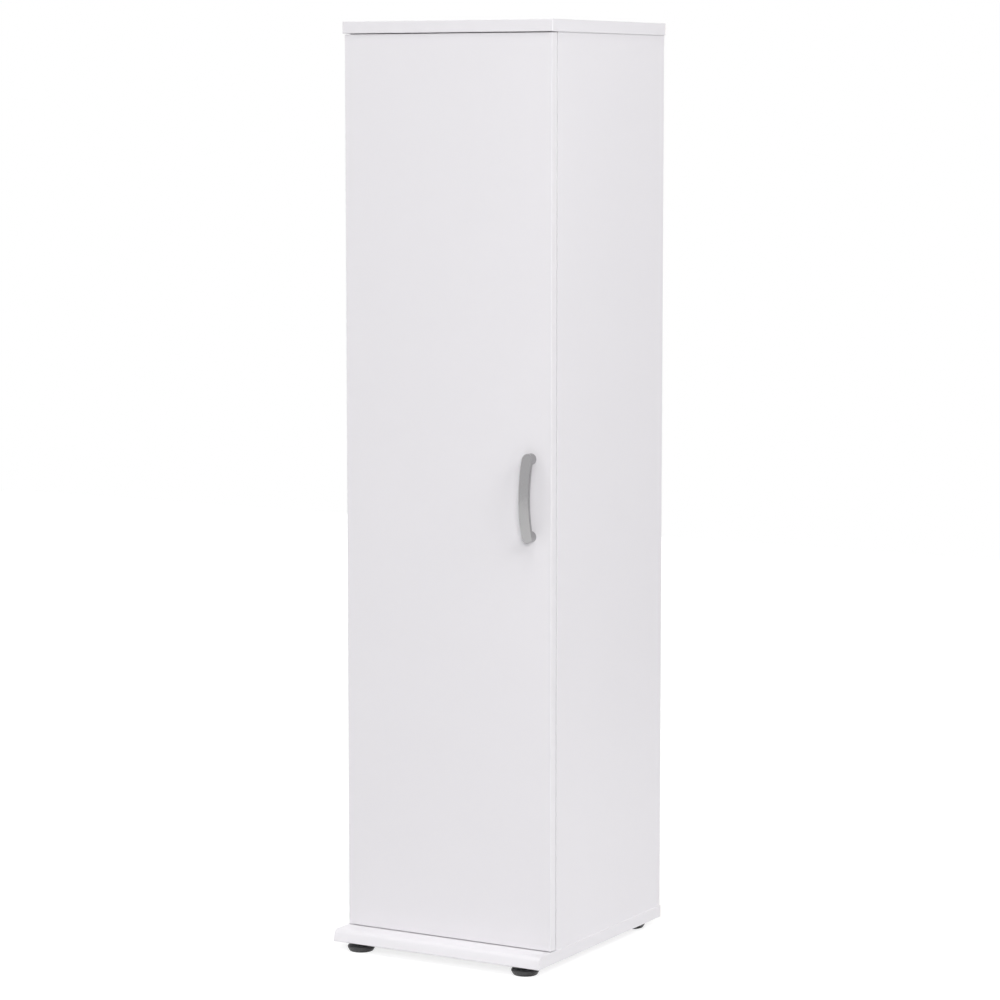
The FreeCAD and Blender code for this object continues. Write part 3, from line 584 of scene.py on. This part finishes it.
def metal(name, colour, rough, grain, depth, cloud=20, tint=None):
    """rough is from and to. grain (along x, y and z) and cloud are sizes in millimetres."""
    material, graph, shader = start_material(name)
    grain_size = tuple(size * MM for size in grain)
    marks = use_effect(graph, metal_grain, Grain_Size=grain_size, Cloud_Size=cloud * MM)
    shader["Metallic"].default_value = 1.0
    if tint:
        share = graph.spread(marks["Cloud"], MARKS_LOW, MARKS_HIGH, 0, 1)
        graph.feed(shader["Base Color"], graph.mix_colour(share, colour, tint))
    else:
        shader["Base Color"].default_value = colour
    share = graph.math("MULTIPLY", graph.math("ADD", marks["Grain"], marks["Cloud"]), 0.5)
    graph.feed(shader["Roughness"], graph.spread(share, MARKS_LOW, MARKS_HIGH, *rough))
    graph.feed(shader["Normal"], bump(graph, marks["Grain"], depth, GRAIN_DEPTH))
    return material


METALS = {
    "satin_nickel": {
        "colour": (0.42, 0.415, 0.418, 1),
        "rough": (0.20, 0.27),
        "grain": (0.12, 0.12, 14),
        "depth": 0.25,
    },
    "nickel_plate": {
        "colour": (0.70, 0.68, 0.64, 1),
        "rough": (0.18, 0.30),
        "grain": (0.8, 0.8, 0.8),
        "depth": 0.10,
    },
    "zinc_plate": {
        "colour": (0.66, 0.68, 0.71, 1),
        "rough": (0.26, 0.40),
        "grain": (0.5, 0.5, 0.5),
        "depth": 0.15,
        "cloud": 4,
        "tint": (0.70, 0.69, 0.62, 1),
    },
    "zinc_casting": {
        "colour": (0.52, 0.53, 0.55, 1),
        "rough": (0.40, 0.58),
        "grain": (0.3, 0.3, 0.3),
        "depth": 0.50,
        "cloud": 5,
        "tint": (0.42, 0.43, 0.46, 1),
    },
    "bright_steel": {
        "colour": (0.76, 0.76, 0.76, 1),
        "rough": (0.15, 0.24),
        "grain": (1.5, 1.5, 0.1),
        "depth": 0.12,
    },
}
for name, values in METALS.items():
    finishes[name] = metal(name, **values)
print(len(METALS), "metals, and", len(finishes), "finishes so far")

# %% [markdown]
# ### Plastics and beech
#
# The feet are black plastic from a polished mould: nearly no diffuse colour, and a clear gloss.
# The door bumpers are soft and clear. The dowels are plain beech, pale with short dark flecks
# along the grain, though they only show if the cupboard is taken apart.

# %% Plastics and beech
BLACK = (0.030, 0.030, 0.031, 1)
BEECH_PALE = (0.66, 0.47, 0.29, 1)
BEECH_FLECK = (0.42, 0.25, 0.13, 1)
BEECH_GRAIN = (2.5 * MM, 0.3 * MM, 0.3 * MM)
FLECK_FROM, FLECK_FULL = 0.55, 0.7  # the grain between which a fleck fades in


def black_plastic():
    material, graph, shader = start_material("black_plastic")
    marks = use_effect(graph, metal_grain, Grain_Size=(2 * MM, 2 * MM, 2 * MM), Cloud_Size=10 * MM)
    shader["Base Color"].default_value = BLACK
    shader["IOR"].default_value = 1.6
    graph.feed(shader["Roughness"], graph.wander(marks["Cloud"], 0.06, 0.12))
    graph.feed(shader["Normal"], bump(graph, marks["Grain"], depth=0.02))
    return material


def clear_bumper():
    material, graph, shader = start_material("clear_bumper")
    marks = use_effect(graph, metal_grain, Grain_Size=(MM, MM, MM), Cloud_Size=3 * MM)
    shader["Base Color"].default_value = (0.93, 0.94, 0.94, 1)
    shader["Transmission Weight"].default_value = 0.75
    shader["IOR"].default_value = 1.45
    graph.feed(shader["Roughness"], graph.wander(marks["Cloud"], 0.12, 0.2))
    return material


def beech():
    material, graph, shader = start_material("beech")
    flecks = use_effect(graph, metal_grain, Grain_Size=BEECH_GRAIN)
    share = graph.spread(flecks["Grain"], FLECK_FROM, FLECK_FULL, 0, 1)
    graph.feed(shader["Base Color"], graph.mix_colour(share, BEECH_PALE, BEECH_FLECK))
    graph.feed(shader["Roughness"], graph.wander(flecks["Grain"], 0.55, 0.7))
    graph.feed(shader["Normal"], bump(graph, flecks["Grain"], depth=0.05))
    return material


finishes["black_plastic"] = black_plastic()
finishes["clear_bumper"] = clear_bumper()
finishes["beech"] = beech()
print(len(finishes), "finishes in all")

# %% [markdown]
# ## Dressing the construction model
#
# The record says which finish each node takes. Four boards take the version of the laminate that
# knows where its cut edges are. A node keeps its mesh: only its material slot changes.

# %% Give every node its finish
special_finishes = {
    "left_side_panel": "side_laminate",
    "right_side_panel": "side_laminate",
    "top_board": "board_laminate",
    "base_board": "board_laminate",
}
for subpart in frame["record"]["subparts"]:
    name = subpart["node"]
    finish = special_finishes.get(name, subpart["material_slot"])
    for material_slot in nodes[name].material_slots:
        material_slot.material = finishes[finish]

# %% [markdown]
# ## Small turned parts
#
# Screws, bumpers and foot pads are turned forms: an outline is spun round an axis. A spin is
# easy to write by hand: one ring of points for each point of the outline, joined by quads. Where
# each one goes comes from the construction model: its node holds one solid for each screw, so the
# solids are told apart and measured.

# %% Turn an outline, and measure the solids of a node
TURN_STEPS = 48
SMOOTH_BELOW = math.radians(35)
WELD_DISTANCE = 1e-6  # metres within which two points are one
SORT_DECIMALS = 5  # of a metre, so that solids always come in the same order


def turned_mesh(outline, steps=TURN_STEPS):
    """A closed mesh spun round Z from (radius, height) points. The first and last lie on Z."""
    mesh = bmesh.new()
    rings = []
    for radius, height in outline:
        if radius == 0:
            rings.append([mesh.verts.new((0, 0, height))])
            continue
        ring = []
        for step in range(steps):
            angle = 2 * math.pi * step / steps
            ring.append(mesh.verts.new((radius * math.cos(angle), radius * math.sin(angle), height)))
        rings.append(ring)
    for lower, upper in zip(rings, rings[1:]):
        for step in range(steps):
            after = (step + 1) % steps
            corners = [lower[step % len(lower)], lower[after % len(lower)]]
            corners += [upper[after % len(upper)], upper[step % len(upper)]]
            mesh.faces.new(list(dict.fromkeys(corners)))
    bmesh.ops.recalc_face_normals(mesh, faces=mesh.faces)
    return mesh


def solids_of(node):
    """(lowest corner, highest corner) of each separate solid in a node."""
    mesh = bmesh.new()
    mesh.from_mesh(nodes[node].data)
    bmesh.ops.remove_doubles(mesh, verts=mesh.verts, dist=WELD_DISTANCE)
    left = set(mesh.verts)
    boxes = []
    while left:
        heap = [left.pop()]
        island = []
        while heap:
            vert = heap.pop()
            island.append(vert.co.copy())
            for edge in vert.link_edges:
                other = edge.other_vert(vert)
                if other in left:
                    left.remove(other)
                    heap.append(other)
        low = Vector([min(p[i] for p in island) for i in range(3)])
        high = Vector([max(p[i] for p in island) for i in range(3)])
        boxes.append((low, high))
    mesh.free()
    return sorted(boxes, key=lambda box: tuple(round(c, SORT_DECIMALS) for c in box[0]))


def finish_piece(mesh, name, body, slot, replaced):
    """Turns a bmesh into a piece that rides on a body and stands for one node."""
    data = bpy.data.meshes.new(name)
    mesh.to_mesh(data)
    mesh.free()
    data.materials.append(finishes[slot])
    data.shade_smooth()
    data.set_sharp_from_angle(angle=SMOOTH_BELOW)
    piece = bpy.data.objects.new(name, data)
    scene.collection.objects.link(piece)
    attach(piece, body)
    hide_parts(replaced)
    return piece


def merge_into(target, source, matrix):
    """Adds a moved copy of one bmesh to another."""
    copy = bpy.data.meshes.new("copy")
    source.to_mesh(copy)
    copy.transform(matrix)
    target.from_mesh(copy)
    bpy.data.meshes.remove(copy)


print("cup screws found:", len(solids_of("hinge_cup_screws")))

# %% [markdown]
# A pan-head screw has a low dome and a cross recess with tapering wings. The head is a turned
# form, and the recess is taken out with a Boolean modifier, because the wings cross the dome at
# an angle that no spin can follow. One screw is made for each size and then copied, and each copy
# is turned by another angle, as a fitter leaves them.

# %% Screws with a cross recess
TIP_RADIUS = 0.35  # as a share of the shank's radius
TIP_START = 0.86  # where the tip begins to taper, as a share of the length
DOME_POINTS = 7
DOME_FLAT = 0.25  # radius of the dome's flat middle, as a share of the head's radius
CUTTER_TOP = 1.2  # clear of the dome, as a share of the head's height
RECESS_REACH = 0.62  # half length of a wing at the cutter's top, as a share of the head's radius
RECESS_WING = 0.19  # half thickness of a wing there, as a share of the head's radius
RECESS_TAPER = 0.55  # size of the wings at the bottom of the recess, as a share of that at the top
RECESS_DEPTH = 0.85  # as a share of the head's height
GOLDEN_ANGLE = math.radians(137.5)
# node: (body, slot, way the heads face, head radius, head height, shank radius), sizes in mm
SCREWS = {
    "hinge_cup_screws": ("door", "nickel_plate", (0, 1, 0), 3.4, 1.5, 1.75),
    "hinge_plate_screws": ("carcass", "nickel_plate", (1, 0, 0), 4.0, 1.8, 2.5),
    "hinge_arm_screws": ("carcass", "nickel_plate", (1, 0, 0), 3.3, 1.4, 2.0),
    "handle_screws": ("door", "zinc_plate", (0, 1, 0), 4.0, 2.2, 2.0),
}


def head_outline(head_radius, head_height, shank_radius, length):
    """From the screw's tip up its shank, out along the washer face and over the dome."""
    tip, flat = shank_radius * TIP_RADIUS, head_radius * DOME_FLAT
    outline = [(0, -length), (tip, -length), (shank_radius, -length * TIP_START)]
    outline += [(shank_radius, 0), (head_radius, 0)]
    for step in range(1, DOME_POINTS + 1):
        lean = math.pi / 2 * step / DOME_POINTS
        outline.append((flat + (head_radius - flat) * math.cos(lean), head_height * math.sin(lean)))
    outline.append((0, head_height))
    return outline


def cross_cutter(head_radius, head_height):
    """Two tapering wings at right angles, wider at the top than at the bottom."""
    mesh = bmesh.new()
    reach, wing = head_radius * RECESS_REACH, head_radius * RECESS_WING
    top, bottom = head_height * CUTTER_TOP, head_height * (1 - RECESS_DEPTH)
    for turn in (0, 90):
        cube = bmesh.ops.create_cube(mesh, size=1.0)["verts"]
        for vert in cube:
            at_top = vert.co.z > 0
            taper = 1.0 if at_top else RECESS_TAPER
            vert.co.x = math.copysign(reach * taper, vert.co.x)
            vert.co.y = math.copysign(wing * taper, vert.co.y)
            vert.co.z = top if at_top else bottom
        bmesh.ops.rotate(mesh, verts=cube, matrix=Matrix.Rotation(math.radians(turn), 3, "Z"))
    return mesh


def cut_away(mesh, cutter):
    """The mesh less the cutter, through a Boolean modifier on throw-away objects."""
    objects = []
    for part, name in ((mesh, "whole"), (cutter, "cutter")):
        data = bpy.data.meshes.new(name)
        part.to_mesh(data)
        part.free()
        made = bpy.data.objects.new(name, data)
        scene.collection.objects.link(made)
        objects.append(made)
    whole, tool = objects
    boolean = whole.modifiers.new("recess", "BOOLEAN")
    boolean.object = tool
    boolean.operation = "DIFFERENCE"
    boolean.solver = "EXACT"
    boolean.use_self = True
    bpy.context.view_layer.update()
    evaluated = whole.evaluated_get(bpy.context.evaluated_depsgraph_get())
    result = bmesh.new()
    result.from_mesh(evaluated.to_mesh())
    evaluated.to_mesh_clear()
    for made in objects:
        data = made.data
        bpy.data.objects.remove(made)
        bpy.data.meshes.remove(data)
    return result


def make_screws(node, body, slot, along, head_radius, head_height, shank_radius):
    """Stands a detailed screw in the place of each solid of a node, heads towards along."""
    axis = Vector(along)
    boxes = solids_of(node)
    across = max(range(3), key=lambda i: abs(axis[i]))
    length = (boxes[0][1] - boxes[0][0])[across] - head_height
    screw = cut_away(
        turned_mesh(head_outline(head_radius, head_height, shank_radius, length)),
        cross_cutter(head_radius, head_height),
    )
    together = bmesh.new()
    for index, (low, high) in enumerate(boxes):
        seat = (low + high) / 2
        seat[across] = high[across] - head_height
        turn = Matrix.Rotation(GOLDEN_ANGLE * index, 4, "Z")
        stand = axis.to_track_quat("Z", "Y").to_matrix().to_4x4()
        merge_into(together, screw, Matrix.Translation(seat) @ stand @ turn)
    screw.free()
    return finish_piece(together, node + "_detail", body, slot, node)


for node, (body, slot, along, *sizes) in SCREWS.items():
    screws = make_screws(node, body, slot, along, *[size * MM for size in sizes])
    print(screws.name, "on", body)

# %% [markdown]
# The bumpers are clear domes stuck to the back of the door. A foot's pad flares from its sole to
# a full round shoulder, which is what catches the light. Its stem is threaded, which shows when
# the foot is wound down: a thread is a rod whose radius rises and falls once for every turn, so
# the rings of points are pushed out or in by their place along the helix.

# %% Bumpers, foot pads and threaded stems
BUMPER_EDGE = 0.25  # height of a bumper's upright edge, as a share of its whole height
BUMPER_POINTS = 6
SOLE_IN = 4.6 * MM  # how far in from the widest part the flat sole ends
SOLE_OUT, SOLE_UP = 1.6 * MM, 1.4 * MM  # half axes of the round at the sole's edge
SOLE_ARC = (-90, -25, 4)  # degrees from, degrees to, steps
SHOULDER_LOW, SHOULDER_TOP = 7.0 * MM, 11.6 * MM  # heights of the widest part and of the round's top
SHOULDER_IN = 7.0 * MM  # how far the shoulder rounds in from the widest part
SHOULDER_ARC = (-12, 82, 10)
NECK_RADIUS, NECK_LOW = 9.0 * MM, 12.6 * MM
PAD_STEPS = 64
THREAD_PITCH = 1.25 * MM
THREAD_DEPTH = 0.6 * MM
THREAD_RINGS_PER_TURN = 6
THREAD_STEPS = 28
FEET = ("front_left", "front_right", "rear_left", "rear_right")


def make_bumpers():
    together = bmesh.new()
    for low, high in solids_of("door_bumpers"):
        radius, height = (high.x - low.x) / 2, high.y - low.y
        outline = [(0, 0), (radius, 0), (radius, height * BUMPER_EDGE)]
        for step in range(1, BUMPER_POINTS + 1):
            lean = math.pi / 2 * step / BUMPER_POINTS
            rise = height * (BUMPER_EDGE + (1 - BUMPER_EDGE) * math.sin(lean))
            outline.append((radius * math.cos(lean) if step < BUMPER_POINTS else 0, rise))
        dome = turned_mesh(outline)
        centre = Vector(((low.x + high.x) / 2, low.y, (low.z + high.z) / 2))
        stand = Vector((0, 1, 0)).to_track_quat("Z", "Y").to_matrix().to_4x4()
        merge_into(together, dome, Matrix.Translation(centre) @ stand)
        dome.free()
    return finish_piece(together, "door_bumpers_detail", "door", "clear_bumper", "door_bumpers")


def threaded_rod(radius, length):
    """A closed rod along +Z with one helical ridge. The crests reach radius."""
    mesh = bmesh.new()
    gap = THREAD_PITCH / THREAD_RINGS_PER_TURN
    count = int(length / gap)
    rings = []
    for index in range(count + 1):
        height = length * index / count
        ring = []
        for step in range(THREAD_STEPS):
            turn = step / THREAD_STEPS
            place = (height / THREAD_PITCH - turn) % 1.0
            ridge = abs(2 * place - 1)
            reach = radius - THREAD_DEPTH * (1 - ridge)
            angle = 2 * math.pi * turn
            ring.append(mesh.verts.new((reach * math.cos(angle), reach * math.sin(angle), height)))
        rings.append(ring)
    for lower, upper in zip(rings, rings[1:]):
        for step in range(THREAD_STEPS):
            after = (step + 1) % THREAD_STEPS
            mesh.faces.new((lower[step], lower[after], upper[after], upper[step]))
    mesh.faces.new(list(reversed(rings[0])))
    mesh.faces.new(rings[-1])
    return mesh


def arc(centre, across, up, start, end, steps):
    """Points of an upright ellipse as (radius, height). Angles are in degrees above level."""
    outline = []
    for step in range(steps + 1):
        lean = math.radians(start + (end - start) * step / steps)
        outline.append((centre[0] + across * math.cos(lean), centre[1] + up * math.sin(lean)))
    return outline


def place_in_box(mesh, low, high):
    """Moves a form made round Z onto the middle of a box's bottom face."""
    centre = Vector(((low.x + high.x) / 2, (low.y + high.y) / 2, low.z))
    bmesh.ops.translate(mesh, verts=mesh.verts, vec=centre)


def make_pad(place):
    """A pad with its bore: up the outside, over the shoulder and the neck, and down the bore."""
    node = "foot_pad_" + place
    low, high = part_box(node)
    stem_low, stem_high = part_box("foot_stem_" + place)
    radius, bore = (high.x - low.x) / 2, (stem_high.x - stem_low.x) / 2
    top, bore_floor = high.z - low.z, stem_low.z - low.z
    shoulder = (radius - SHOULDER_IN, SHOULDER_LOW)
    outline = [(0, 0)] + arc((radius - SOLE_IN, SOLE_UP), SOLE_OUT, SOLE_UP, *SOLE_ARC)
    outline += arc(shoulder, SHOULDER_IN, SHOULDER_TOP - SHOULDER_LOW, *SHOULDER_ARC)
    outline += [(NECK_RADIUS, NECK_LOW), (NECK_RADIUS, top), (bore, top)]
    outline += [(bore, bore_floor), (0, bore_floor)]
    pad = turned_mesh(outline, PAD_STEPS)
    place_in_box(pad, low, high)
    return finish_piece(pad, node + "_detail", "foot_" + place, "black_plastic", node)


def make_stem(place):
    node = "foot_stem_" + place
    low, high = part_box(node)
    rod = threaded_rod((high.x - low.x) / 2, high.z - low.z)
    place_in_box(rod, low, high)
    return finish_piece(rod, node + "_detail", "foot_" + place, "zinc_plate", node)


bumpers = make_bumpers()
pads = [make_pad(place) for place in FEET]
stems = [make_stem(place) for place in FEET]
print("made", bumpers.name, "with", len(pads), "pads and", len(stems), "stems")
